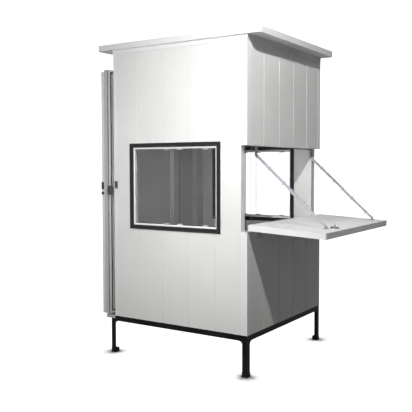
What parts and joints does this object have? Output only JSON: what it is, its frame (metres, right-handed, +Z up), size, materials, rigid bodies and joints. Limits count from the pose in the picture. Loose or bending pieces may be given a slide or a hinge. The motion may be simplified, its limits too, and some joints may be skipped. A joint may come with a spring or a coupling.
{
  "type": "guard booth",
  "caption": "Small guard booth of white insulated panels on a black steel base with sliding windows, a hinged door and a drop-down serving hatch held by folding stays",
  "frame": {"origin": "on the ground under the middle of the whole booth, roof overhang and open flap included", "axes": "X along the window wall from the door side to the hatch side, Y from the front window wall to the rear wall, Z up"},
  "size_m": [1.9356, 1.2291, 2.406],
  "materials": {
    "wall_panel": "white baked paint on steel-skinned sandwich panel",
    "flashing": "white baked paint on folded sheet, slightly glossy",
    "flap_skin": "pale grey baked paint, satin",
    "base_steel": "black satin paint on angle iron",
    "window_frame": "charcoal powder coat on aluminium section",
    "window_rim": "white extruded profile",
    "glass": "clear float glass, faint grey tint",
    "galvanised": "zinc plated, satin",
    "black_fittings": "black moulded plastic and black coated hardware",
    "floor": "grey floor plate, matt",
    "threshold": "mill-finish folded sheet"
  },
  "bodies": {
    "booth": {"base_rail_front": "base_steel", "base_rail_rear": "base_steel", "base_rail_left": "base_steel", "base_rail_right": "base_steel", "base_legs": "base_steel", "foot_caps": "black_fittings", "floor_panel": "floor", "door_sill": "threshold", "front_wall": "wall_panel", "rear_wall": "wall_panel", "hatch_lower_wall": "wall_panel", "hatch_upper_wall": "wall_panel", "door_side_wall": "wall_panel", "door_head_wall": "wall_panel", "corner_trims": "flashing", "top_trims": "flashing", "hatch_caps": "flashing", "roof_panel": "wall_panel", "roof_edge_trim": "flashing", "front_window_frame": "window_frame", "front_window_rim": "window_rim", "front_window_glass": "glass", "rear_window_frame": "window_frame", "rear_window_rim": "window_rim", "rear_window_glass": "glass", "door_hinge_plates": "galvanised", "strike_plate": "black_fittings", "flap_hinge_plates": "galvanised", "stay_hangers": "galvanised"},
    "door": {"door_leaf": "wall_panel", "door_pull_strip": "flashing", "door_hinge_leaves": "galvanised", "door_hasp": "black_fittings", "door_handle": "black_fittings"},
    "flap": {"hatch_flap": "flap_skin", "flap_edge_trim": "flashing", "flap_hinge_leaves": "galvanised", "flap_latch": "galvanised", "stay_lugs": "galvanised"},
    "front_upper_link": {"front_stay_upper_link": "galvanised"},
    "front_lower_link": {"front_stay_lower_link": "galvanised"},
    "rear_upper_link": {"rear_stay_upper_link": "galvanised"},
    "rear_lower_link": {"rear_stay_lower_link": "galvanised"}
  },
  "joints": [
    {"name": "door_hinge", "type": "hinge", "parent": "booth", "child": "door", "pos_m": [-0.82933, 0.506, 1.259], "axis": [0, 0, -1], "range_deg": [-2.6, 95]},
    {"name": "flap_hinge", "type": "hinge", "parent": "booth", "child": "flap", "pos_m": [0.38817, 0, 1.015], "axis": [0, -1, 0], "range_deg": [0, 92.8]},
    {"name": "front_stay_top", "type": "hinge", "parent": "booth", "child": "front_upper_link", "pos_m": [0.32317, -0.364, 1.542], "axis": [0, -1, 0], "range_deg": [-58.3, 0]},
    {"name": "front_stay_foot", "type": "hinge", "parent": "flap", "child": "front_lower_link", "pos_m": [0.86578, -0.376, 1.05672], "axis": [0, -1, 0], "range_deg": [0, 27.6]},
    {"name": "rear_stay_top", "type": "hinge", "parent": "booth", "child": "rear_upper_link", "pos_m": [0.32317, 0.539, 1.542], "axis": [0, -1, 0], "range_deg": [-58.3, 0]},
    {"name": "rear_stay_foot", "type": "hinge", "parent": "flap", "child": "rear_lower_link", "pos_m": [0.86578, 0.527, 1.05672], "axis": [0, -1, 0], "range_deg": [0, 27.6]}
  ],
  "couplings": [
    {"joint": "front_stay_top", "follows": "flap_hinge", "ratio": -0.62707},
    {"joint": "front_stay_foot", "follows": "flap_hinge", "ratio": 0.29611},
    {"joint": "rear_stay_top", "follows": "flap_hinge", "ratio": -0.62707},
    {"joint": "rear_stay_foot", "follows": "flap_hinge", "ratio": 0.29611}
  ]
}
